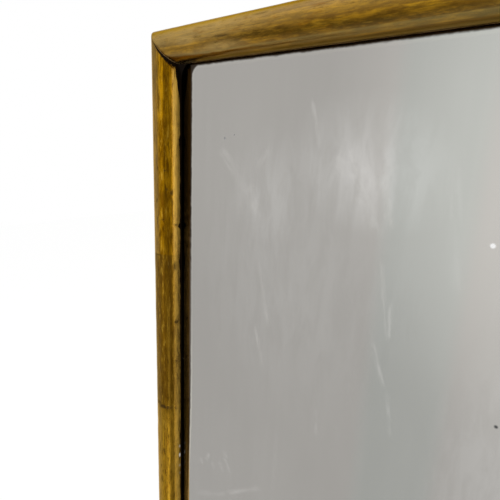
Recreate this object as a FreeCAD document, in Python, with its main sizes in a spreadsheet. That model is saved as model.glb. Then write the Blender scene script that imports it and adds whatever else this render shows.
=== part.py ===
import FreeCAD, Part
import os
import re
import Sketcher

# Bistro mirror: thin half-round brass over a mitred wooden frame, silvered glass in a rebate,
# tongue-and-groove backboards held by brads, and two ring hangers.
# Frame: X is the width, Z is up, the front faces -Y, and the origin is the middle of the back plane.

# Driving sizes in millimetres, with the counts of boards, brads and pins among them
SIZES = {
    "frame_width": 650,
    "frame_height": 900,
    "rail_width": 30,
    "sheet_gauge": 0.7,
    "fit_gap": 0.05,
    "cut_overrun": 2,
    "sight_depth": 3.5,
    "glass_gauge": 4,
    "glass_arris": 0.6,
    "edge_gap": 2,
    "packer_length": 30,
    "paper_gauge": 0.4,
    "board_gauge": 6,
    "board_recess": 4,
    "board_play": 0.5,
    "board_gap": 0.8,
    "board_count": 6,
    "tongue_gauge": 2,
    "tongue_length": 3,
    "rebate_width": 9,
    "spline_gauge": 3,
    "spline_length": 17,
    "spline_width": 12,
    "brad_bore": 1.6,
    "brad_grip": 7,
    "brad_show": 11,
    "brad_tip": 2.4,
    "brads_per_rail": 4,
    "pin_bore": 1.6,
    "pin_head": 3.4,
    "pin_rise": 1.2,
    "pin_grip": 8,
    "pins_per_stile": 6,
    "pins_per_rail": 4,
    "putty_radius": 10,
    "putty_rise": 2,
    "hanger_drop": 210,
    "strap_width": 10.4,
    "strap_gauge": 1.2,
    "strap_length": 42,
    "strap_corner": 2.5,
    "ring_wire": 2.8,
    "ring_inside": 14.4,
    "ring_corner": 3,
    "ring_side": 3,
    "eye_gap": 0.08,
    "ring_rest_gap": 0.4,
    "screw_clearance": 1.5,
    "screw_end": 6.5,
    "screw_bore": 3.4,
    "screw_grip": 14,
    "screw_tip": 3,
    "screw_head": 6,
    "screw_rise": 1.8,
    "screw_slot": 0.9,
    "screw_slot_depth": 0.9,
}

# Levels and lengths that follow from the driving sizes
DERIVED = {
    "skin": "sheet_gauge + fit_gap",
    "glass_back": "board_recess + board_gauge + paper_gauge",
    "glass_face": "glass_back + glass_gauge",
    "brass_edge": "glass_face + sight_depth",
    "crown_radius": "rail_width / 2",
    "sight_line": "rail_width - skin",
    "rebate_wall": "sight_line - rebate_width",
    "plate_width": "frame_width - 2 * rebate_wall - 2 * edge_gap",
    "plate_height": "frame_height - 2 * rebate_wall - 2 * edge_gap",
    "board_length": "frame_width - 2 * rebate_wall - 2 * board_play",
    "board_stack": "frame_height - 2 * rebate_wall - 2 * board_play",
    "board_pitch": "board_stack / board_count",
    "spline_far": "(spline_length + spline_width) / sqrt(8)",
    "spline_near": "(spline_length - spline_width) / sqrt(8)",
    "brad_level": "board_recess - brad_bore / 2 - fit_gap",
    "brad_pitch": "board_pitch / 2",
    "rail_brad_pitch": "board_length / brads_per_rail",
    "pin_level": "brass_edge / 2",
    "stile_pin_pitch": "frame_height / pins_per_stile",
    "rail_pin_pitch": "frame_width / pins_per_rail",
    "hanger_inset": "(skin + rebate_wall) / 2",
    "hanger_side": "frame_width / 2 - hanger_inset",
    "hanger_level": "frame_height / 2 - hanger_drop",
    "wire_radius": "ring_wire / 2",
    "eye_bore": "wire_radius + eye_gap",
    "eye_radius": "eye_bore + strap_gauge",
    "strap_face": "2 * strap_gauge",
    "ring_half": "(ring_inside + ring_wire) / 2",
    "ring_turn": "ring_corner + ring_side",
    "ring_cross": "ring_turn + sqrt(ring_half * ring_half - strap_width * strap_width / 4)",
    "ring_lift": "strap_face + wire_radius + ring_rest_gap - eye_radius",
    "ring_rest_angle": "asin(ring_lift / ring_cross)",
    "ring_reach": "ring_turn + ring_half + wire_radius",
    "screw_first": "ring_reach + screw_clearance + screw_head / 2",
    "screw_last": "strap_length - screw_end",
    "screw_pitch": "screw_last - screw_first",
}

doc = FreeCAD.newDocument("bistro_mirror")
sheet = doc.addObject("Spreadsheet::Sheet", "Sizes")
for row, (name, value) in enumerate(SIZES.items(), start=1):
    sheet.set("A%d" % row, name)
    sheet.set("B%d" % row, str(value))
    sheet.setAlias("B%d" % row, name)
doc.recompute()

finished = []


def formula(text):
    """Write a size formula out with the cells of the sheet."""
    def expand(match):
        word = match.group(0)
        if word in DERIVED:
            return "(" + formula(DERIVED[word]) + ")"
        if word in SIZES:
            return "Sizes." + word
        return word
    return re.sub(r"[a-z_]+", expand, text)


def measure(text):
    """Value of a formula, in millimetres or degrees."""
    value = sheet.evalExpression(formula(text))
    return getattr(value, "Value", value)


def count(name):
    return int(round(measure(name)))


def bind(item, place, text):
    item.setExpression(place, formula(text))


def new_body(label):
    body = doc.addObject("PartDesign::Body", label)
    body.Label = label
    body.AllowCompound = True
    finished.append(body)
    return body


def origin_part(body, role):
    for feature in body.Origin.OriginFeatures:
        if feature.Role == role:
            return feature


def new_sketch(body, role, shift=("0", "0", "0")):
    """Sketch on an origin plane, shifted along the axes of that plane."""
    sketch = body.newObject("Sketcher::SketchObject", "Sketch")
    sketch.AttachmentSupport = [(origin_part(body, role), "")]
    sketch.MapMode = "FlatFace"
    for axis, text in zip("xyz", shift):
        if text != "0":
            bind(sketch, "AttachmentOffset.Base." + axis, text)
    return sketch


def place_point(sketch, edge, end, corner):
    for kind, text in zip(("DistanceX", "DistanceY"), corner):
        index = sketch.addConstraint(Sketcher.Constraint(kind, -1, 1, edge, end, measure(text)))
        bind(sketch, "Constraints[%d]" % index, text)


def outline(sketch, corners, arcs=None):
    """Closed outline through the corners; an arc is (centre, turns clockwise, held centre axis)."""
    arcs = arcs or {}
    first = sketch.GeometryCount
    points = [FreeCAD.Vector(measure(x), measure(y), 0) for x, y in corners]
    ends = []
    for index, start in enumerate(points):
        stop = points[(index + 1) % len(points)]
        if index not in arcs:
            sketch.addGeometry(Part.LineSegment(start, stop), False)
            ends.append((1, 2))
            continue
        centre, clockwise, held = arcs[index]
        middle = FreeCAD.Vector(measure(centre[0]), measure(centre[1]), 0)
        low, high = (stop, start) if clockwise else (start, stop)
        whole = Part.Circle(middle, FreeCAD.Vector(0, 0, 1), (start - middle).Length)
        sketch.addGeometry(Part.ArcOfCircle(whole, whole.parameter(low), whole.parameter(high)), False)
        ends.append((2, 1) if clockwise else (1, 2))
    for index in range(len(points)):
        following = (index + 1) % len(points)
        sketch.addConstraint(Sketcher.Constraint(
            "Coincident", first + index, ends[index][1], first + following, ends[following][0]))
    for index, corner in enumerate(corners):
        place_point(sketch, first + index, ends[index][0], corner)
    for index, (centre, clockwise, held) in arcs.items():
        kind = "DistanceX" if held == "x" else "DistanceY"
        text = centre[0] if held == "x" else centre[1]
        number = sketch.addConstraint(Sketcher.Constraint(kind, -1, 1, first + index, 3, measure(text)))
        bind(sketch, "Constraints[%d]" % number, text)


def circle(sketch, centre, radius):
    middle = FreeCAD.Vector(measure(centre[0]), measure(centre[1]), 0)
    number = sketch.addGeometry(Part.Circle(middle, FreeCAD.Vector(0, 0, 1), measure(radius)), False)
    place_point(sketch, number, 3, centre)
    held = sketch.addConstraint(Sketcher.Constraint("Radius", number, measure(radius)))
    bind(sketch, "Constraints[%d]" % held, radius)


def rectangle(sketch, left, low, right, high):
    outline(sketch, [(left, low), (right, low), (right, high), (left, high)])


def pad(body, sketch, length, symmetric=False, reverse=False):
    feature = body.newObject("PartDesign::Pad", "Pad")
    feature.Profile = sketch
    feature.SideType = "Symmetric" if symmetric else "One side"
    feature.Reversed = reverse
    bind(feature, "Length", length)
    return feature


def pocket(body, sketch, depth=None, reverse=False):
    """Cut against the normal of the sketch plane, or along it when reversed."""
    feature = body.newObject("PartDesign::Pocket", "Pocket")
    feature.Profile = sketch
    feature.Reversed = reverse
    if depth is None:
        feature.Type = "ThroughAll"
    else:
        bind(feature, "Length", depth)
    return feature


def revolve(body, sketch, axis):
    feature = body.newObject("PartDesign::Revolution", "Revolution")
    feature.Profile = sketch
    feature.ReferenceAxis = (sketch, [axis])
    feature.Angle = 360
    return feature


def row_of(body, originals, role, reach, number):
    """Even row of features along an origin axis."""
    feature = body.newObject("PartDesign::LinearPattern", "Row")
    feature.Originals = originals
    feature.Direction = (origin_part(body, role), [""])
    bind(feature, "Length", reach)
    bind(feature, "Occurrences", number)
    body.Tip = feature
    return feature


def rows_both_sides(body, originals, role, reach, number, mirror_role):
    """Even row of features, repeated on the other side of an origin plane."""
    both = body.newObject("PartDesign::MultiTransform", "BothSides")
    both.Originals = originals
    row = body.newObject("PartDesign::LinearPattern", "Row")
    row.Direction = (origin_part(body, role), [""])
    bind(row, "Length", reach)
    bind(row, "Occurrences", number)
    other = body.newObject("PartDesign::Mirrored", "Other")
    other.MirrorPlane = (origin_part(body, mirror_role), [""])
    both.Transformations = [row, other]
    body.Tip = both
    return both


# The four sides, each drawn in its own frame: X runs from the outer edge to the sight edge,
# Y from the back to the front, and Z along the side from one corner to the next; each side is
# turned a quarter further than the one before it
SIDES = {
    "left_stile": ("-frame_width / 2", "frame_height / 2", "frame_height"),
    "top_rail": ("frame_width / 2", "frame_height / 2", "frame_width"),
    "right_stile": ("frame_width / 2", "-frame_height / 2", "frame_height"),
    "bottom_rail": ("-frame_width / 2", "-frame_height / 2", "frame_width"),
}


def set_side(body, side):
    across, up, length = SIDES[side]
    facing = FreeCAD.Rotation(FreeCAD.Vector(0, 1, 0), 90 * list(SIDES).index(side))
    body.Placement = FreeCAD.Placement(
        FreeCAD.Vector(0, 0, 0), facing.multiply(FreeCAD.Rotation(FreeCAD.Vector(1, 0, 0), 180)))
    bind(body, "Placement.Base.x", across)
    bind(body, "Placement.Base.z", up)


def cut_mitres(body, length):
    sketch = new_sketch(body, "XZ_Plane")
    beyond = "rail_width + cut_overrun"
    outline(sketch, [("-cut_overrun", "-cut_overrun"), (beyond, "-cut_overrun"), (beyond, beyond)])
    far = length + " + cut_overrun"
    outline(sketch, [("-cut_overrun", far), (beyond, length + " - rail_width - cut_overrun"), (beyond, far)])
    pocket(body, sketch)


def pins_of(side):
    if side.endswith("stile"):
        return "stile_pin_pitch", "pins_per_stile"
    return "rail_pin_pitch", "pins_per_rail"


def pin_holes(body, side, depth):
    pitch, number = pins_of(side)
    sketch = new_sketch(body, "YZ_Plane")
    circle(sketch, ("pin_level", pitch + " / 2"), "pin_bore / 2 + fit_gap")
    hole = pocket(body, sketch, depth, reverse=True)
    row_of(body, [hole], "Z_Axis", pitch + " * (" + number + " - 1)", number)


def make_brass(side):
    """Brass sheet dressed over one side, mitred at both ends."""
    body = new_body(side + "_brass")
    length = SIDES[side][2]
    sketch = new_sketch(body, "XY_Plane")
    middle = ("crown_radius", "brass_edge")
    outline(sketch, [
        ("0", "0"),
        ("0", "brass_edge"),
        ("rail_width", "brass_edge"),
        ("rail_width - sheet_gauge", "brass_edge"),
        ("sheet_gauge", "brass_edge"),
        ("sheet_gauge", "0"),
    ], {1: (middle, True, "y"), 3: (middle, False, "y")})
    pad(body, sketch, length)
    cut_mitres(body, length)
    pin_holes(body, side, "sheet_gauge + cut_overrun")
    set_side(body, side)


def make_core(side):
    """Rebated wooden core of one side, with its slots and holes."""
    body = new_body(side + "_core")
    length = SIDES[side][2]
    sketch = new_sketch(body, "XY_Plane")
    outline(sketch, [
        ("skin", "0"),
        ("skin", "brass_edge"),
        ("sight_line", "brass_edge"),
        ("sight_line", "glass_face"),
        ("rebate_wall", "glass_face"),
        ("rebate_wall", "0"),
    ], {1: (("crown_radius", "brass_edge"), True, "y")})
    pad(body, sketch, length)
    cut_mitres(body, length)

    # Slots for the loose tongues of both mitres
    sketch = new_sketch(body, "XZ_Plane", ("0", "0", "-(brass_edge - spline_gauge / 2 - fit_gap)"))
    far = "(spline_far + 2 * fit_gap)"
    near = "spline_near"
    middle = "crown_radius"
    for start, sign in (("0", "+"), (length, "-")):
        def along(text):
            return start + " " + sign + " (" + text + ")"
        outline(sketch, [
            (middle + " + " + far, along(middle + " + " + near)),
            (middle + " + " + near, along(middle + " + " + far)),
            (middle + " - " + far, along(middle + " - " + near)),
            (middle + " - " + near, along(middle + " - " + far)),
        ])
    pocket(body, sketch, "spline_gauge + 2 * fit_gap")

    # Holes of the glazing brads in the rebate wall
    pitch, number = ("brad_pitch", "2 * board_count")
    if side.endswith("rail"):
        pitch, number = ("rail_brad_pitch", "brads_per_rail")
    sketch = new_sketch(body, "YZ_Plane", ("0", "0", "rebate_wall"))
    circle(sketch, ("brad_level", "rebate_wall + board_play + " + pitch + " / 2"), "brad_bore / 2 + fit_gap")
    hole = pocket(body, sketch, "brad_grip + fit_gap")
    row_of(body, [hole], "Z_Axis", pitch + " * (" + number + " - 1)", number)

    pin_holes(body, side, "pin_grip + fit_gap")

    # Holes of the hanger screws in the back of the stiles
    if side.endswith("stile"):
        sketch = new_sketch(body, "XZ_Plane")
        for place in ("screw_first", "screw_last"):
            level = "hanger_drop + " + place
            if side == "right_stile":
                level = "frame_height - (" + level + ")"
            circle(sketch, ("hanger_inset", level), "screw_bore / 2 + fit_gap")
        pocket(body, sketch, "screw_grip + fit_gap")
    set_side(body, side)


for side in SIDES:
    make_brass(side)
    make_core(side)


# Loose tongues of the mitres
def make_spline(label, across, up):
    body = new_body(label)
    sketch = new_sketch(body, "XZ_Plane", ("0", "0", "brass_edge - spline_gauge / 2"))
    outline(sketch, [
        ("spline_far", "spline_near"),
        ("spline_near", "spline_far"),
        ("-spline_far", "-spline_near"),
        ("-spline_near", "-spline_far"),
    ])
    pad(body, sketch, "spline_gauge")
    turn = 0 if across == up else 90
    body.Placement = FreeCAD.Placement(
        FreeCAD.Vector(0, 0, 0), FreeCAD.Rotation(FreeCAD.Vector(0, 1, 0), turn))
    bind(body, "Placement.Base.x", across + "(frame_width / 2 - crown_radius)")
    bind(body, "Placement.Base.z", up + "(frame_height / 2 - crown_radius)")


for high, up in (("top", "+"), ("bottom", "-")):
    for hand, across in (("left", "-"), ("right", "+")):
        make_spline("corner_spline_%s_%s" % (high, hand), across, up)


# Silvered glass with ground edges
plate = new_body("mirror_plate")
face = new_sketch(plate, "XZ_Plane", ("0", "0", "glass_back"))
rectangle(face, "-plate_width / 2", "-plate_height / 2", "plate_width / 2", "plate_height / 2")
block = pad(plate, face, "glass_gauge")
doc.recompute()
rims = []
for number, edge in enumerate(block.Shape.Edges, start=1):
    if edge.BoundBox.YLength < measure("glass_gauge / 2"):
        rims.append("Edge%d" % number)
ground = plate.newObject("PartDesign::Chamfer", "Arris")
ground.Base = (block, rims)
bind(ground, "Size", "glass_arris")

# Packers between the edges of the plate and the rebate
packers = new_body("plate_packers")
blocks = new_sketch(packers, "XZ_Plane", ("0", "0", "glass_back"))
for sign in ("-", "+"):
    inner = sign + "plate_width / 2"
    outer = sign + "(plate_width / 2 + edge_gap)"
    for place in ("-frame_height / 4", "frame_height / 4"):
        rectangle(blocks, inner, place + " - packer_length / 2", outer, place + " + packer_length / 2")
    inner = sign + "plate_height / 2"
    outer = sign + "(plate_height / 2 + edge_gap)"
    for place in ("-frame_width / 4", "frame_width / 4"):
        rectangle(blocks, place + " - packer_length / 2", inner, place + " + packer_length / 2", outer)
pad(packers, blocks, "glass_gauge")

# Backing paper behind the silvering
paper = doc.addObject("Part::Box", "backing_paper")
paper.Label = "backing_paper"
finished.append(paper)
bind(paper, "Length", "plate_width")
bind(paper, "Width", "paper_gauge")
bind(paper, "Height", "plate_height")
bind(paper, "Placement.Base.x", "-plate_width / 2")
bind(paper, "Placement.Base.y", "-glass_back")
bind(paper, "Placement.Base.z", "-plate_height / 2")


# Backboards, numbered from the bottom, with a tongue above and a groove below
def make_board(number):
    body = new_body("backboard_%d" % number)
    sketch = new_sketch(body, "YZ_Plane")
    middle = "-board_gauge / 2"
    low = "board_gap / 2"
    high = "board_pitch - board_gap / 2"
    corners = [("-board_gauge", low)]
    if number > 1:
        slot = "tongue_gauge / 2 + board_play / 2"
        depth = "tongue_length + board_gap / 2 + board_play"
        corners += [
            (middle + " - (" + slot + ")", low),
            (middle + " - (" + slot + ")", depth),
            (middle + " + (" + slot + ")", depth),
            (middle + " + (" + slot + ")", low),
        ]
    corners += [("0", low), ("0", high)]
    if number < count("board_count"):
        tip = "board_pitch + tongue_length"
        corners += [
            (middle + " + tongue_gauge / 2", high),
            (middle + " + tongue_gauge / 2", tip),
            (middle + " - tongue_gauge / 2", tip),
            (middle + " - tongue_gauge / 2", high),
        ]
    corners += [("-board_gauge", high)]
    outline(sketch, corners)
    pad(body, sketch, "board_length", symmetric=True)
    bind(body, "Placement.Base.y", "-board_recess")
    bind(body, "Placement.Base.z", "-board_stack / 2 + %d * board_pitch" % (number - 1))


for number in range(1, count("board_count") + 1):
    make_board(number)

# Glazing brads: a row on each stile and a row on each rail
brads = new_body("glazing_brads")
shank = new_sketch(brads, "XY_Plane", ("0", "-brad_level", "-board_stack / 2 + brad_pitch / 2"))
wall = "frame_width / 2 - rebate_wall"
outline(shank, [
    (wall + " - brad_show", "0"),
    (wall + " + brad_grip", "0"),
    (wall + " + brad_grip - brad_tip", "brad_bore / 2"),
    (wall + " - brad_show", "brad_bore / 2"),
])
shape = revolve(brads, shank, "H_Axis")
rows_both_sides(brads, [shape], "Z_Axis", "brad_pitch * (2 * board_count - 1)", "2 * board_count", "YZ_Plane")
shank = new_sketch(brads, "YZ_Plane", ("-brad_level", "0", "-board_length / 2 + rail_brad_pitch / 2"))
wall = "frame_height / 2 - rebate_wall"
outline(shank, [
    ("0", wall + " - brad_show"),
    ("0", wall + " + brad_grip"),
    ("brad_bore / 2", wall + " + brad_grip - brad_tip"),
    ("brad_bore / 2", wall + " - brad_show"),
])
shape = revolve(brads, shank, "V_Axis")
rows_both_sides(
    brads, [shape], "X_Axis", "rail_brad_pitch * (brads_per_rail - 1)", "brads_per_rail", "XY_Plane")


# Domed brass pins on the outer sides
def pin_profile(sketch, outer, upright):
    corners = [
        (outer + " - pin_grip", "0"),
        (outer + " + pin_rise", "0"),
        (outer, "pin_head / 2"),
        (outer, "pin_bore / 2"),
        (outer + " - pin_grip + pin_bore", "pin_bore / 2"),
    ]
    middle = (outer + " + (pin_rise * pin_rise - pin_head * pin_head / 4) / (2 * pin_rise)", "0")
    if upright:
        corners = [(b, a) for a, b in corners]
        outline(sketch, corners, {1: ((middle[1], middle[0]), True, "x")})
    else:
        outline(sketch, corners, {1: (middle, False, "y")})


pins = new_body("brass_pins")
shank = new_sketch(pins, "XY_Plane", ("0", "-pin_level", "-frame_height / 2 + stile_pin_pitch / 2"))
pin_profile(shank, "frame_width / 2", False)
shape = revolve(pins, shank, "H_Axis")
rows_both_sides(
    pins, [shape], "Z_Axis", "stile_pin_pitch * (pins_per_stile - 1)", "pins_per_stile", "YZ_Plane")
shank = new_sketch(pins, "YZ_Plane", ("-pin_level", "0", "-frame_width / 2 + rail_pin_pitch / 2"))
pin_profile(shank, "frame_height / 2", True)
shape = revolve(pins, shank, "V_Axis")
rows_both_sides(pins, [shape], "X_Axis", "rail_pin_pitch * (pins_per_rail - 1)", "pins_per_rail", "XY_Plane")

# Putty coves in the inner corners, standing on the glass
putty = new_body("corner_putty")
coves = new_sketch(putty, "XZ_Plane", ("0", "0", "glass_face"))
for across in ("-", "+"):
    for up in ("-", "+"):
        def side_of(text):
            return across + "(frame_width / 2 - rail_width - fit_gap - " + text + ")"

        def level_of(text):
            return up + "(frame_height / 2 - rail_width - fit_gap - " + text + ")"
        outline(coves, [
            (side_of("0"), level_of("0")),
            (side_of("putty_radius"), level_of("0")),
            (side_of("0"), level_of("putty_radius")),
        ], {1: ((side_of("putty_radius"), level_of("putty_radius")), across == up, "x")})
pad(putty, coves, "sight_depth + putty_rise")


# Hangers: a strap folded round the bar of a D-shaped ring
def set_hanger(body, hand):
    sign = "-" if hand == "left" else ""
    bind(body, "Placement.Base.x", sign + "hanger_side")
    bind(body, "Placement.Base.y", "eye_radius")
    bind(body, "Placement.Base.z", "hanger_level")


def make_strap(hand):
    body = new_body("hanger_strap_" + hand)
    sketch = new_sketch(body, "YZ_Plane")
    neck = "-sqrt(eye_radius * eye_radius - (eye_radius - strap_face) * (eye_radius - strap_face))"
    outline(sketch, [
        ("-eye_radius", "-strap_length"),
        ("-eye_radius", "0"),
        ("strap_face - eye_radius", neck),
        ("strap_face - eye_radius", "-strap_length"),
    ], {1: (("0", "0"), True, "y")})
    circle(sketch, ("0", "0"), "eye_bore")
    pad(body, sketch, "strap_width", symmetric=True)
    sketch = new_sketch(body, "XZ_Plane", ("0", "0", "eye_radius + cut_overrun"))
    for place in ("screw_first", "screw_last"):
        circle(sketch, ("0", "-(" + place + ")"), "screw_bore / 2 + fit_gap")
    drilled = pocket(body, sketch)
    doc.recompute()
    lower = []
    for number, edge in enumerate(drilled.Shape.Edges, start=1):
        box = edge.BoundBox
        if abs(box.ZMax + measure("strap_length")) < measure("fit_gap") and box.XLength < measure("fit_gap"):
            lower.append("Edge%d" % number)
    rounded = body.newObject("PartDesign::Fillet", "Corners")
    rounded.Base = (drilled, lower)
    bind(rounded, "Radius", "strap_corner")
    set_hanger(body, hand)


def make_ring(hand):
    body = new_body("hang_ring_" + hand)
    path = new_sketch(body, "XZ_Plane")
    inner = "ring_half - ring_corner"
    outline(path, [
        ("-(" + inner + ")", "0"),
        (inner, "0"),
        ("ring_half", "-ring_corner"),
        ("ring_half", "-ring_turn"),
        ("-ring_half", "-ring_turn"),
        ("-ring_half", "-ring_corner"),
    ], {
        1: ((inner, "-ring_corner"), True, "y"),
        3: (("0", "-ring_turn"), True, "y"),
        5: (("-(" + inner + ")", "-ring_corner"), True, "y"),
    })
    wire = new_sketch(body, "YZ_Plane")
    circle(wire, ("0", "0"), "wire_radius")
    bend = body.newObject("PartDesign::AdditivePipe", "Bend")
    bend.Profile = wire
    bend.Spine = (path, [])
    bind(body, "Placement.Rotation.Angle", "ring_rest_angle")
    body.Placement = FreeCAD.Placement(
        FreeCAD.Vector(0, 0, 0), FreeCAD.Rotation(FreeCAD.Vector(1, 0, 0), measure("ring_rest_angle")))
    set_hanger(body, hand)


for hand in ("left", "right"):
    make_strap(hand)
    make_ring(hand)

# Slotted round-head screws of the straps
screws = new_body("hanger_screws")
half = new_sketch(screws, "XY_Plane", ("hanger_side", "0", "hanger_level - screw_last"))
outline(half, [
    ("0", "-screw_grip"),
    ("0", "strap_face + screw_rise"),
    ("screw_head / 2", "strap_face"),
    ("screw_bore / 2", "strap_face"),
    ("screw_bore / 2", "-screw_grip + screw_tip"),
], {1: (("0", "strap_face + (screw_rise * screw_rise - screw_head * screw_head / 4) / (2 * screw_rise)"),
        True, "x")})
turned = revolve(screws, half, "V_Axis")
groove = new_sketch(screws, "XZ_Plane", ("0", "0", "-(strap_face + screw_rise + cut_overrun)"))
slot_level = "hanger_level - screw_last"
rectangle(
    groove, "hanger_side - screw_head", slot_level + " - screw_slot / 2",
    "hanger_side + screw_head", slot_level + " + screw_slot / 2")
slotted = pocket(screws, groove, "screw_slot_depth + cut_overrun", reverse=True)
rows_both_sides(screws, [turned, slotted], "Z_Axis", "screw_pitch", "2", "YZ_Plane")

doc.recompute()

problems = []
for item in doc.Objects:
    if "Invalid" in item.State or "Error" in item.State:
        problems.append("%s: %s" % (item.Label, item.State))
for item in finished:
    if item.Shape.isNull() or not item.Shape.isValid():
        problems.append(item.Label + ": no valid shape")
if problems:
    raise RuntimeError("; ".join(problems))

os.makedirs("parts", exist_ok=True)
for item in finished:
    item.Shape.exportStep("parts/%s.step" % item.Label)
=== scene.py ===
import math
import random
from functools import cached_property

import bpy
from mathutils import Matrix, Vector, noise


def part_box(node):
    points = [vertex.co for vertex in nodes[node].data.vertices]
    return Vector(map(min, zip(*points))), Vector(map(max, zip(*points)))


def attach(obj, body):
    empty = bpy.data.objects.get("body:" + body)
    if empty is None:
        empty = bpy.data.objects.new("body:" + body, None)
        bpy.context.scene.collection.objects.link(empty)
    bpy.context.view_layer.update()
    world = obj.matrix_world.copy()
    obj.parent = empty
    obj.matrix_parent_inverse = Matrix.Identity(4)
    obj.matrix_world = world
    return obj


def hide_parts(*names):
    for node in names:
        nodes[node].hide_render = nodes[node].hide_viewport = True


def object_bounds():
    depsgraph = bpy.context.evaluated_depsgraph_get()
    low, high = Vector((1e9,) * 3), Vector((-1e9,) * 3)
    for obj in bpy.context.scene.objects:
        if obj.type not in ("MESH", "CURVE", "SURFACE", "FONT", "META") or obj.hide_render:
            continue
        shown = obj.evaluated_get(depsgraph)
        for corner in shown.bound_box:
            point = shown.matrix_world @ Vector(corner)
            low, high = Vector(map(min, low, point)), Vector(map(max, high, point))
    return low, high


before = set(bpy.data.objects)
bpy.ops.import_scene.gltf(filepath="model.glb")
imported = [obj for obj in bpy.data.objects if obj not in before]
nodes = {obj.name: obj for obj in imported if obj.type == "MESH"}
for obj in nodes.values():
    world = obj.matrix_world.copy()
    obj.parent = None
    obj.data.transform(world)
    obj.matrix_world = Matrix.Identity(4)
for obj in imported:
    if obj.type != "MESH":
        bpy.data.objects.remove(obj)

cad_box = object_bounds()
scene = bpy.context.scene
scene.view_settings.view_transform = "Standard"
MM = 0.001

# Sizes read from the CAD frame, in metres: X is the width, Z is up, the front faces -Y
brass_low, brass_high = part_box("left_stile_brass")
glass_low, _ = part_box("mirror_plate")
HALF_WIDTH = -brass_low.x
HALF_HEIGHT = brass_high.z
RAIL = brass_high.x - brass_low.x
CROWN = RAIL / 2
SPRING = -brass_low.y - CROWN
GLASS = -glass_low.y
GAUGE = 0.7 * MM
# How far the wooden sight edge lies behind the brass lip
SIGHT_SETBACK = 0.75 * MM

# Sockets of a Mix node by its kind: first value, second value, result
MIX_SOCKETS = {"FLOAT": (2, 3, 0), "VECTOR": (4, 5, 1), "RGBA": (6, 7, 2)}


def in_metres(values):
    """Millimetres as metres."""
    return [value * MM for value in values]


def opaque(colour):
    """An RGB triple with full alpha; anything else as it is."""
    if isinstance(colour, tuple) and len(colour) == 3:
        return colour + (1.0,)
    return colour


class Graph:
    """Short calls that add nodes to a tree and return the socket to read."""

    def __init__(self, tree):
        self.tree = tree

    def add(self, kind, **settings):
        node = self.tree.nodes.new(kind)
        for key, value in settings.items():
            setattr(node, key, value)
        return node

    def feed(self, socket, value):
        if isinstance(value, bpy.types.NodeSocket):
            self.tree.links.new(value, socket)
        else:
            socket.default_value = value

    def feed_all(self, sockets, values):
        for socket, value in zip(sockets, values):
            self.feed(socket, value)

    def tune(self, node, **inputs):
        """Feed a node's inputs by their names."""
        for name, value in inputs.items():
            self.feed(node.inputs[name.replace("_", " ")], value)

    def math(self, operation, *values):
        node = self.add("ShaderNodeMath", operation=operation)
        self.feed_all(node.inputs, values)
        return node.outputs[0]

    def product(self, *shares):
        result = shares[0]
        for share in shares[1:]:
            result = self.math("MULTIPLY", result, share)
        return result

    def vector(self, operation, *values):
        node = self.add("ShaderNodeVectorMath", operation=operation)
        self.feed_all(node.inputs, values)
        return node.outputs["Value" if operation in ("LENGTH", "DOT_PRODUCT") else "Vector"]

    def between(self, value, low, high, start=0.0, stop=1.0):
        """A smooth step of a value, from start at low to stop at high."""
        node = self.add("ShaderNodeMapRange", interpolation_type="SMOOTHSTEP")
        self.feed_all(node.inputs, (value, low, high, start, stop))
        return node.outputs[0]

    def mix(self, kind, share, first, second):
        """The first value where the share is 0, the second where it is 1."""
        node = self.add("ShaderNodeMix", data_type=kind)
        before, after, result = MIX_SOCKETS[kind]
        self.feed(node.inputs[0], share)
        self.feed(node.inputs[before], first)
        self.feed(node.inputs[after], second)
        return node.outputs[result]

    def blend(self, share, first, second):
        return self.mix("RGBA", share, opaque(first), opaque(second))


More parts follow.
